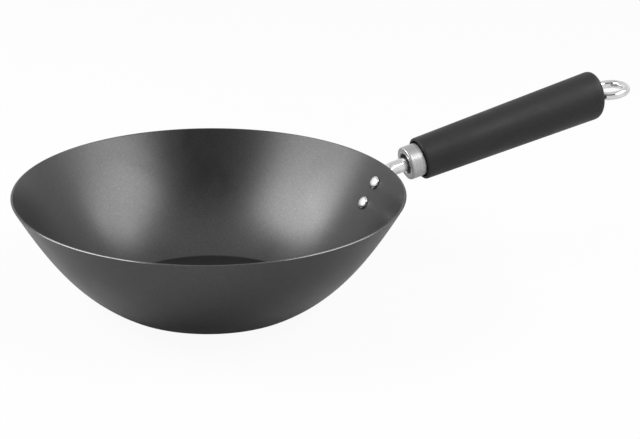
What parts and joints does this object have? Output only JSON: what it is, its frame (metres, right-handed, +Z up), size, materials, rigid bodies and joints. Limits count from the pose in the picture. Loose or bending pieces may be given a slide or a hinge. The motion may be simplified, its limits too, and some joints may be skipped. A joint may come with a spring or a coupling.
{
  "type": "steel wok",
  "caption": "Flat-based steel wok with a dark non-stick coat, a long round black handle riveted to its wall and a wire hanging loop that tightens the handle.",
  "frame": {"origin": "middle of the base's flat underside", "axes": "+Z up, +X along the handle, away from the bowl"},
  "size_m": [0.4655, 0.27, 0.1235],
  "materials": {
    "coated_steel": "satin",
    "rivet_metal": "satin",
    "bright_steel": "polished",
    "satin_steel": "satin",
    "plain_steel": "satin",
    "black_plastic": "matte"
  },
  "bodies": {
    "wok": {"wok_bowl": "coated_steel", "upper_rivet": "rivet_metal", "lower_rivet": "rivet_metal", "handle_stem": "bright_steel", "stem_plug": "plain_steel", "ferrule": "satin_steel", "grip": "black_plastic"},
    "washer": {"spring_washer": "plain_steel"},
    "loop_bolt": {"tie_bolt": "plain_steel", "hanging_loop": "bright_steel"}
  },
  "joints": [
    {"name": "bolt_travel", "type": "slide", "parent": "wok", "child": "washer", "axis": [0.9789, 0, 0.2045], "range_m": [0, 0.008]},
    {"name": "loop_turn", "type": "hinge", "parent": "washer", "child": "loop_bolt", "pos_m": [0.30317, 0, 0.10673], "axis": [0.9789, 0, 0.2045], "range_deg": [0, 3600]}
  ],
  "couplings": [
    {"joint": "loop_turn", "follows": "bolt_travel", "rad_per_m": 7854}
  ]
}
